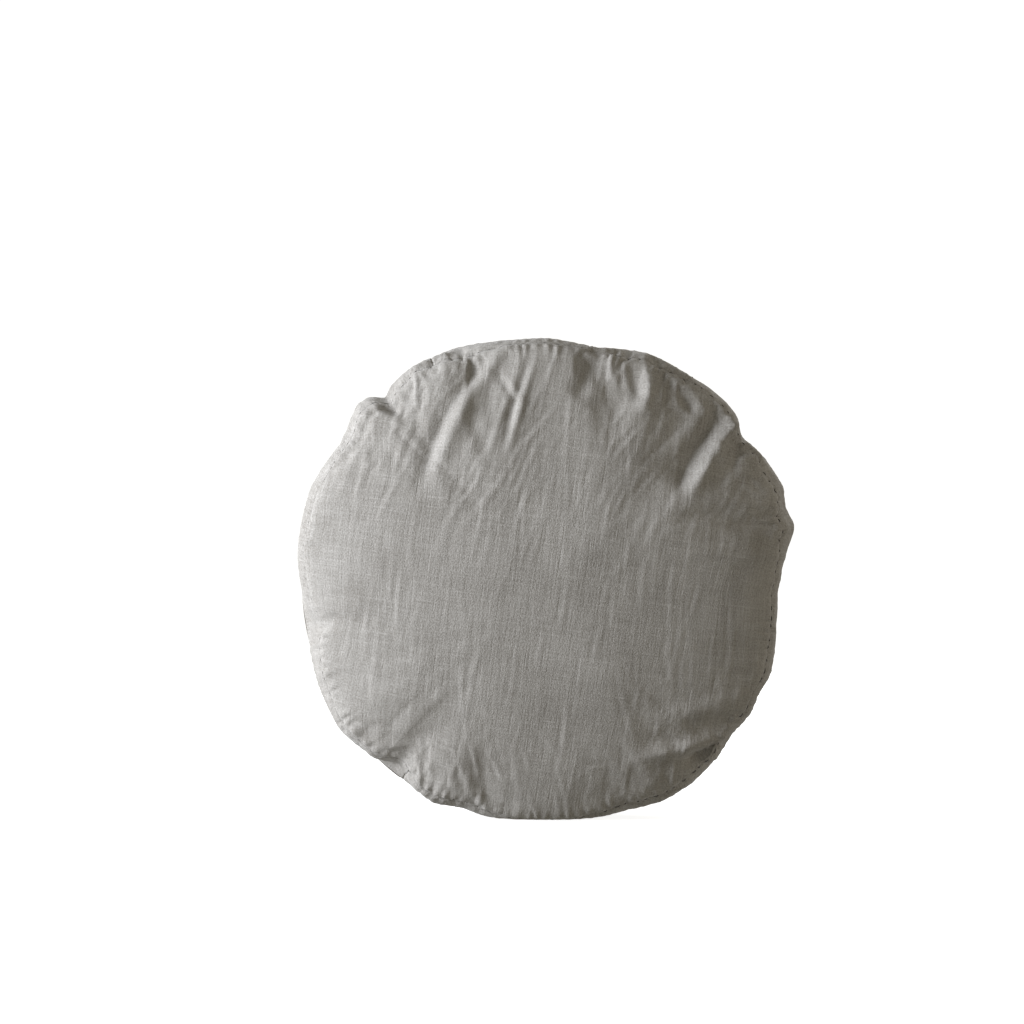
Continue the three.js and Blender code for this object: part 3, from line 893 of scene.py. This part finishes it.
def cloth_material(name, dark, light, yarn, slub, roughness, sheen, depth, lean=0.0):
    """A plain weave. Yarn and slub are the pitch and the length of the thick
    places in metres, and lean turns the warp, in degrees."""
    material, tree, shader = new_material(name)
    uv = add(tree, "ShaderNodeUVMap", uv_map="weave").outputs["UV"]
    turned = add(tree, "ShaderNodeMapping", {
        "Vector": uv, "Rotation": (0, 0, np.radians(lean)),
        "Scale": (1 / UV_PER_METRE, 1 / UV_PER_METRE, 1),
    }).outputs["Vector"]

    def threads(across, along, detail, seed):
        """Long thin noise cells: threads of one direction."""
        scaled = add(tree, "ShaderNodeMapping", {
            "Vector": turned, "Scale": (1 / across, 1 / along, 1), "Location": (seed, seed, 0),
        }).outputs["Vector"]
        return add(tree, "ShaderNodeTexNoise", {
            "Vector": scaled, "Scale": 1.0, "Detail": detail, "Roughness": 0.6,
        }, noise_dimensions="2D").outputs["Fac"]

    def math(operation, *values):
        """One arithmetic step."""
        return add(tree, "ShaderNodeMath", dict(enumerate(values)), operation=operation).outputs[0]

    warp = threads(yarn, slub, 2.0, 3.7)
    weft = threads(slub, yarn, 2.0, 8.1)
    thick_warp = threads(yarn * 2.6, slub * 2.2, 1.0, 21.3)
    thick_weft = threads(slub * 2.2, yarn * 2.6, 1.0, 33.9)
    speckle = threads(yarn * 0.75, yarn * 0.75, 1.0, 5.5)
    cloud = threads(0.055, 0.075, 3.0, 12.4)
    fine = math("ADD", math("MULTIPLY", warp, 0.20), math("MULTIPLY", weft, 0.13))
    thick = math("ADD", math("MULTIPLY", thick_warp, 0.10), math("MULTIPLY", thick_weft, 0.06))
    relief = math("ADD", math("ADD", fine, thick), math("MULTIPLY", speckle, 0.51))
    tone = math("ADD", math("MULTIPLY", relief, 0.78), math("MULTIPLY", cloud, 0.22))
    long_warp = threads(yarn * 0.9, slub * 1.4, 0.0, 61.0)
    long_weft = threads(slub * 1.4, yarn * 0.9, 0.0, 77.0)
    thickest = ramp(tree, math("MAXIMUM", long_warp, long_weft), 0.66, 0.8, 0.0, SLUB_LIGHT)
    crumple = threads(yarn * 2.2, slub * 0.7, 3.0, 44.0)
    sharp = ramp(tree, threads(yarn * 1.3, slub * 1.8, 1.0, 91.0), 0.62, 0.76, 0.0, -SHARP_CREASE)
    creased = math("ADD", relief, math("MULTIPLY", crumple, CRUMPLE_SHARE))
    feed(tree, shader, {
        "Base Color": two_tone(tree, ramp(tree, math("ADD", tone, thickest), 0.36, 0.64), dark, light),
        "Normal": bumped(tree, math("ADD", creased, sharp), 0.8, depth),
        "Roughness": roughness, "Specular IOR Level": 0.25,
        "Sheen Weight": sheen, "Sheen Roughness": 0.5,
    })
    return material


LINEN = cloth_material(
    "washed_linen", "#87827B", "#B2AEA8", 2.6 * MM, 42 * MM, 0.92, 0.12, 0.9 * MM, lean=8.0
)


def finish_pieces(pieces, material):
    """Gives pieces their material and slot. They ride on the cushion."""
    for made in pieces:
        made.data.materials.append(material)
        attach(made, "cushion")


finish_pieces([front_panel, back_panel, side_band, strip_front, strip_back], LINEN)

# %% [markdown]
# ## Stitches
# The seams' thread is dark, and its short dashes are painted shade: they stand for the
# shadows of the seam's puckers, so they show mostly on the right, shaded side. The
# strips beside the zip have topstitching. Each stitch is a small tube along a
# short path, and all the stitches of a row make one mesh.


# %% Tubes along many short paths
def unit(vectors):
    """The same directions with length one."""
    return vectors / np.maximum(np.linalg.norm(vectors, axis=-1, keepdims=True), 1e-12)


def end_fan(sides):
    """Quads that close a ring with an even number of sides."""
    return np.array([[0, k, k + 1, k + 2] for k in range(1, sides - 1, 2)])


def tubes(name, paths, ups, radii, sides=6):
    """Tubes along paths, an array of (tube, point, 3). The ring at a point is its
    radius times (cosine, sine) in the plane of the sideways and up directions."""
    count, length = paths.shape[:2]
    along = unit(np.gradient(paths, axis=1))
    aside = unit(np.cross(along, ups))
    up = np.cross(aside, along)
    turn = 2 * np.pi * np.arange(sides) / sides
    rings = paths[:, :, None] + radii[:, :, None, None] * (
        np.cos(turn)[:, None] * aside[:, :, None] + np.sin(turn)[:, None] * up[:, :, None]
    )
    index = np.arange(count * length * sides).reshape(count, length, sides)
    fan = end_fan(sides)
    caps = np.concatenate([index[:, 0][:, fan][..., ::-1], index[:, -1][:, fan]])
    faces = np.concatenate([ring_walls(index), caps.reshape(-1, 4)])
    return piece(name, rings.reshape(-1, 3), faces)


STITCH_RADIUS = 0.6 * MM
STITCH_PROFILE = np.array([0.35, 0.95, 1.0, 0.95, 0.35])


def stitch_row(middles, lengths, place):
    """Paths of five points round each middle angle. place gives points and ups."""
    part = np.linspace(-0.5, 0.5, 5)
    angle = middles[:, None] + lengths[:, None] * part / SEAM
    points, ups = place(angle.ravel())
    return points.reshape(*angle.shape, 3), ups.reshape(*angle.shape, 3)


def seam_stitches(name, side, seed):
    """Dark dashes in a seam's ditch, painted shade for the puckers' shadows: longer and higher on the
    right, shaded side.
    """
    draw = np.random.default_rng(seed)
    count = round(2 * np.pi * SEAM / PUCKER_PITCH)
    middles = 2 * np.pi * (np.arange(count) + draw.uniform(-0.25, 0.25, count)) / count
    lengths = draw.uniform(1.5, 8.5, count) * MM
    # Painted shade: the dark dashes rise out of the ditch mostly on the right half, where the cushion
    # is in shade.
    painted_shade_rise = np.clip(np.sin(middles - 0.35) * 0.9 + 0.25, 0, 1) * draw.uniform(0.3, 1.3, count)
    sunk = np.repeat((0.9 - 1.1 * np.clip(painted_shade_rise, 0, 1)) * MM, 5)

    def place(angle):
        points, direction = band_form(np.full_like(angle, side), angle)
        bow = np.tile(np.array([-0.5, 0.2, 0.45, 0.2, -0.5]) * MM, count)
        lift = -DITCH_DEPTH + 0.35 * MM + bow - sunk
        points = points + direction * lift[:, None]
        return rest_on_floor(points), direction

    paths, ups = stitch_row(middles, lengths, place)
    radii = np.broadcast_to(STITCH_RADIUS * STITCH_PROFILE, paths.shape[:2])
    return tubes(name, paths, ups, radii)


front_stitches = seam_stitches("front_seam_stitches", -1, 71)
back_stitches = seam_stitches("back_seam_stitches", 1, 72)
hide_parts("front_seam_thread")
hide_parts("back_seam_thread")

# %% [markdown]
# ## The zip
# A nylon coil zip is two woven tapes with a spiral of teeth along each edge. A
# slider joins them, and metal stops keep it on. Everything is placed by its
# distance across from the zip's middle line and its height above the cloth.

# %% The zip's own frame
def zip_up(angle):
    """The direction straight out of the zip."""
    return radial(angle) * np.cos(ZIP_TILT) + np.array([0.0, np.sin(ZIP_TILT), 0.0])


def zip_point(angle, across, height):
    """A point at an angle round the zip, some way across and above the cloth."""
    out, y_way = radial(angle), np.array([0.0, 1.0, 0.0])
    over = y_way * np.cos(ZIP_TILT) - out * np.sin(ZIP_TILT)
    place = CENTRE + ZIP_RADIUS * out + ZIP_Y * y_way
    return place + across[..., None] * over + height[..., None] * zip_up(angle)


TAPE_TOP, TAPE_THICK = -1.48 * MM, 0.6 * MM
TAPE_INNER, TAPE_OUTER = 1.0 * MM, 12.4 * MM
TAPE_END = 4 * MM / ZIP_RADIUS
TAPE_COLUMNS = 260


def zip_tape(name, side):
    """A flat ribbon: a rounded oblong section carried round the zip's circle."""
    angle = np.linspace(ZIP_FROM + TAPE_END, ZIP_TO - TAPE_END, TAPE_COLUMNS)
    across = np.array([0, 0.03, 0.35, 0.7, 0.97, 1, 0.97, 0.7, 0.35, 0.03])
    height = np.array([0.5, 0, 0, 0, 0, 0.5, 1, 1, 1, 1])
    a, k = np.meshgrid(angle, np.arange(len(across)), indexing="ij")
    from_middle = side * (TAPE_INNER + (TAPE_OUTER - TAPE_INNER) * across[k])
    points = zip_point(a, from_middle, TAPE_TOP - TAPE_THICK * height[k]).reshape(-1, 3)
    index = np.arange(len(points)).reshape(a.shape)
    walls, fan = ring_walls(index), end_fan(len(across))
    caps = np.concatenate([index[0][fan], index[-1][fan][:, ::-1]])
    if side > 0:
        walls, caps = walls[:, ::-1], caps[:, ::-1]
    uv = np.stack([a.ravel() * ZIP_RADIUS, across[k].ravel() * TAPE_OUTER], -1)
    return piece(name, points, np.concatenate([walls, caps]), uv)


TOOTH_PITCH = 1.6 * MM
tooth_across = np.array([2.5, 1.5, 0.75, 0.62, 1.5, 2.5]) * MM
tooth_height = np.array([-1.0, -1.02, -0.8, -0.35, -0.2, -0.45]) * MM
TOOTH_RADIUS = 0.3 * MM


def zip_coil(name, side):
    """Teeth that are short loops over the tape's edge; one side's stand between the other's."""
    count = int((ZIP_TO - ZIP_FROM) * ZIP_RADIUS / TOOTH_PITCH) - 12
    start = ZIP_FROM + 6 * TOOTH_PITCH / ZIP_RADIUS
    middle = start + (np.arange(count) + (0.5 if side > 0 else 0)) * TOOTH_PITCH / ZIP_RADIUS
    lean = np.linspace(-0.25, 0.25, 6) * TOOTH_PITCH / ZIP_RADIUS
    angle = middle[:, None] + lean
    across = np.broadcast_to(side * tooth_across, angle.shape)
    paths = zip_point(angle, across, np.broadcast_to(tooth_height, angle.shape))
    along_zip = np.stack([-np.cos(middle), np.zeros(count), np.sin(middle)], -1)
    ups = np.broadcast_to(along_zip[:, None], paths.shape)
    return tubes(name, paths, ups, np.full(angle.shape, TOOTH_RADIUS))


def topstitches(name, side):
    """A row of small stitches beside the zip, 2 mm from the fold."""
    pitch = 3.6 * MM
    count = int((ZIP_TO - ZIP_FROM - 2 * TAPE_END) * ZIP_RADIUS / pitch)
    middles = ZIP_FROM + TAPE_END + (np.arange(count) + 0.5) * pitch / ZIP_RADIUS
    across = side * (ZIP_OPENING / 2 + 2 * MM)

    def place(angle):
        bow = np.tile(np.array([-0.35, 0.05, 0.15, 0.05, -0.35]) * MM, count)
        return zip_point(angle, np.full_like(angle, across), bow), zip_up(angle)

    paths, ups = stitch_row(middles, np.full(count, 2.9 * MM), place)
    return tubes(name, paths, ups, np.broadcast_to(0.3 * MM * STITCH_PROFILE, paths.shape[:2]))


tapes = [zip_tape("zip_tape_front_woven", -1), zip_tape("zip_tape_back_woven", 1)]
coils = [zip_coil("zip_coil_front_teeth", -1), zip_coil("zip_coil_back_teeth", 1)]
rows = [topstitches("zip_topstitch_front_row", -1), topstitches("zip_topstitch_back_row", 1)]
for made, kind in ((tapes, "tape"), (coils, "coil"), (rows, "topstitch")):
    for part, where in zip(made, ("front", "back")):
        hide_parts(f"zip_{kind}_{where}")

# %% [markdown]
# ## What is inside
# The filling is loose fibre in a calico case, so that the cover can be washed. It
# holds the shape, so it is made from the same form, a few millimetres further in.

# %% Inner case and filling
CASE_IN = 6.8 * MM
FILL_IN = 9.2 * MM
CASE_CLOTH = 0.6 * MM
INNER_RINGS = 54
CASE_STITCHES = 300
FILLING_RINGS = 28
FILLING_ROWS = 10


def inner_relief(points):
    """The inner case follows the large hollows, and leaves the ridges empty."""
    return np.minimum(hand_folds(points[:, 0] / MM, (points[:, 2] - AXIS_Z) / MM), 0)


def no_relief(points):
    """A plain inner surface."""
    return np.zeros(len(points))


case_front = panel("calico_case_front", -1, INNER_RINGS, inner_relief, 0, CASE_IN, CASE_CLOTH)
case_back = panel("calico_case_back", 1, INNER_RINGS, no_relief, 0, CASE_IN, CASE_CLOTH)
case_band = band_piece(
    "calico_case_band", np.arange(0, COLUMNS + 1, 2), -HALF, HALF, 18, 0, None, CASE_IN, CASE_CLOTH
)
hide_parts("inner_case_front")
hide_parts("inner_case_back")
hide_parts("inner_case_band")


def case_stitches(name, side):
    """Small stitches of the case's seams."""
    middles = 2 * np.pi * np.arange(CASE_STITCHES) / CASE_STITCHES

    def place(angle):
        points, direction = band_form(np.full_like(angle, side), angle, CASE_IN - 0.3 * MM)
        return rest_on_floor(points), direction

    paths, ups = stitch_row(middles, np.full(CASE_STITCHES, 4.2 * MM), place)
    return tubes(name, paths, ups, np.broadcast_to(0.25 * MM * STITCH_PROFILE, paths.shape[:2]))


case_threads = []
for where, side in (("front", -1), ("back", 1)):
    case_threads.append(case_stitches(f"case_seam_stitches_{where}", side))
    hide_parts(f"inner_seam_thread_{where}")


def filling_body(name):
    """A closed body: two domes and a band that share their rims."""
    ring, angle, faces = disc_grid(FILLING_RINGS)
    share = ring_share(ring, FILLING_RINGS)
    parts, quads, count = [], [], 0
    for side in (-1, 1):
        points, direction = panel_form(side, share, angle, FILL_IN)
        if side < 0:
            depth = inner_relief(points + direction * FILL_IN) * fade(1 - share, 0, 0.02)
            points += direction * (depth * MM)[:, None]
        parts.append(points)
        quads.append(faces_outward(points, faces, direction) + count)
        count += len(points)
    y_grid, angle_grid = np.meshgrid(
        np.linspace(-1, 1, FILLING_ROWS),
        2 * np.pi * np.arange(8 * FILLING_RINGS) / (8 * FILLING_RINGS), indexing="ij"
    )
    points, direction = band_form(y_grid.ravel(), angle_grid.ravel(), FILL_IN)
    parts.append(points)
    walls = faces_outward(points, ring_walls(np.arange(len(points)).reshape(y_grid.shape)), direction)
    quads.append(walls + count)
    made = piece(name, rest_on_floor(np.concatenate(parts)), np.concatenate(quads))
    welded = bmesh.new()
    welded.from_mesh(made.data)
    bmesh.ops.remove_doubles(welded, verts=welded.verts, dist=0.2 * MM)
    welded.to_mesh(made.data)
    welded.free()
    made.data.shade_smooth()
    return made


filling = filling_body("fibre_filling_body")
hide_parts("fibre_filling")

# %% [markdown]
# ## Thread, tape, nylon, brass, calico and fibre
# Thread is spun fibre with a soft shine, and the tape is woven polyester. The coil
# is moulded nylon, shown as a satin plastic. The slider and the stops are cast
# brass, dulled by handling. Calico is unbleached cotton, the filling felted fibre.

# %% The small materials
ROUGHNESS_CHANGE = 0.08
CALICO = cloth_material(
    "unbleached_calico", "#C9BEA6", "#E6DEC9", 2.0 * MM, 12 * MM, 0.95, 0.05, 0.3 * MM
)
TAPE = cloth_material(
    "woven_polyester_tape", "#7C766D", "#9A948A", 0.9 * MM, 5 * MM, 0.7, 0.1, 0.2 * MM
)


def mottled_material(name, dark, light, grain, roughness, metallic=0.0, depth=0.05 * MM):
    """A material whose colour and roughness vary in small patches of a real size."""
    material, tree, shader = new_material(name)
    patches = add(tree, "ShaderNodeTexNoise", {
        "Vector": add(tree, "ShaderNodeTexCoord").outputs["Object"],
        "Scale": 1 / grain, "Detail": 4.0, "Roughness": 0.6,
    }).outputs["Fac"]
    worn, polished = roughness - ROUGHNESS_CHANGE, roughness + ROUGHNESS_CHANGE
    feed(tree, shader, {
        "Base Color": two_tone(tree, ramp(tree, patches, 0.3, 0.7), dark, light),
        "Roughness": ramp(tree, patches, 0.3, 0.7, worn, polished),
        "Normal": bumped(tree, patches, 0.5, depth), "Metallic": metallic,
    })
    return material


# The seams' dark thread is painted shade as well as thread: its dashes stand for the shadows of the
# puckers.
SEAM_THREAD_AND_PAINTED_SHADE = mottled_material("spun_thread_and_painted_shade", "#2F2C28", "#4A453E", 0.8 * MM, 0.7)
TOP_THREAD = mottled_material("spun_topstitch_thread", "#8A847A", "#A8A298", 0.8 * MM, 0.7)
NYLON = mottled_material("moulded_nylon", "#8B857A", "#A19B8F", 1.5 * MM, 0.38, 0.0, 0.02 * MM)
BRASS = mottled_material("cast_brass", "#8F7442", "#B4965C", 2.5 * MM, 0.38, 1.0, 0.03 * MM)
FIBRE = mottled_material("felted_fibre", "#D8D6D0", "#F2F1ED", 3.0 * MM, 0.95, 0.0, 0.6 * MM)


finish_pieces([front_stitches, back_stitches, *case_threads], SEAM_THREAD_AND_PAINTED_SHADE)
finish_pieces(rows, TOP_THREAD)
finish_pieces(tapes, TAPE)
finish_pieces(coils, NYLON)
finish_pieces([case_front, case_back, case_band], CALICO)
finish_pieces([filling], FIBRE)
for name in ("zip_slider_body", "zip_pull_tab", "zip_stop_open_end", "zip_stop_closed_end"):
    node = frame["nodes"][name]
    node.data.materials.clear()
    node.data.materials.append(BRASS)

# %% [markdown]
# ## Stage, light and camera
# A plain pale bowl stands for the studio floor and wall. A soft lamp on the left is
# the main light. The camera stands 4 m in front, a little above the middle.

# %% Stage
STAGE_BELOW = 0.3 * MM
stage_radius = np.array([0.02, 3.0, 5.0, 6.4, 7.4, 8.0, 8.2, 8.2])
stage_height = np.array([0.0, 0.0, 0.0, 0.25, 0.95, 2.2, 4.0, 9.0])
stage_points, stage_quads = rotate_profile(stage_radius, stage_height, 96)
stage_points = stage_points[:, [0, 2, 1]] - (0, 0, STAGE_BELOW)
stage = mesh_object("studio_floor", stage_points, stage_quads)
stage.data.shade_smooth()
paper, paper_tree, paper_shader = new_material("pale_paper")
feed(paper_tree, paper_shader, {
    "Base Color": linear("#F4F4F4"), "Roughness": 1.0, "Specular IOR Level": 0.0,
    "Emission Color": (1, 1, 1, 1), "Emission Strength": 0.85,
})
stage.data.materials.append(paper)
stage.visible_diffuse = False

# %% Lights
world = bpy.data.worlds.new("studio")
world.use_nodes = True
feed(world.node_tree, world.node_tree.nodes["Background"], {
    "Color": linear("#F0ECDD"), "Strength": 0.24,
})
bpy.context.scene.world = world


def lamp(name, place, aim, size, power, colour):
    """A square area lamp at place that looks at aim."""
    light = bpy.data.lights.new(name, "AREA")
    light.size = size
    light.energy = power
    light.color = linear(colour)[:3]
    made = bpy.data.objects.new(name, light)
    bpy.context.collection.objects.link(made)
    made.location = place
    made.rotation_euler = (Vector(aim) - Vector(place)).to_track_quat("-Z", "Y").to_euler()
    return made


lamp("window", (-2.3, -0.79, 0.76), (0, 0, 0.3), 1.3, 121, "#F1F6FF")
lamp("far_fill", (3.0, -0.9, 0.8), (0, 0, 0.3), 2.5, 15, "#FFF1DC")
lamp("behind", (0.5, 3.2, 2.6), (0, 0, 0.3), 2.0, 40, "#FFFFFF")

# %% Camera
SENSOR = 36.0
PICTURE_WIDTH = 1.2387
camera_data = bpy.data.cameras.new("camera")
camera_data.sensor_width = SENSOR
camera_data.lens = SENSOR * EYE_DISTANCE / PICTURE_WIDTH
camera = bpy.data.objects.new("camera", camera_data)
bpy.context.collection.objects.link(camera)
camera.location = (-40 * MM, -EYE_DISTANCE, 368 * MM)
camera.rotation_euler = (np.pi / 2, 0, 0)
bpy.context.scene.camera = camera
bpy.context.scene.view_settings.view_transform = "Standard"

# %% Finish
bpy.data.objects.remove(cage)
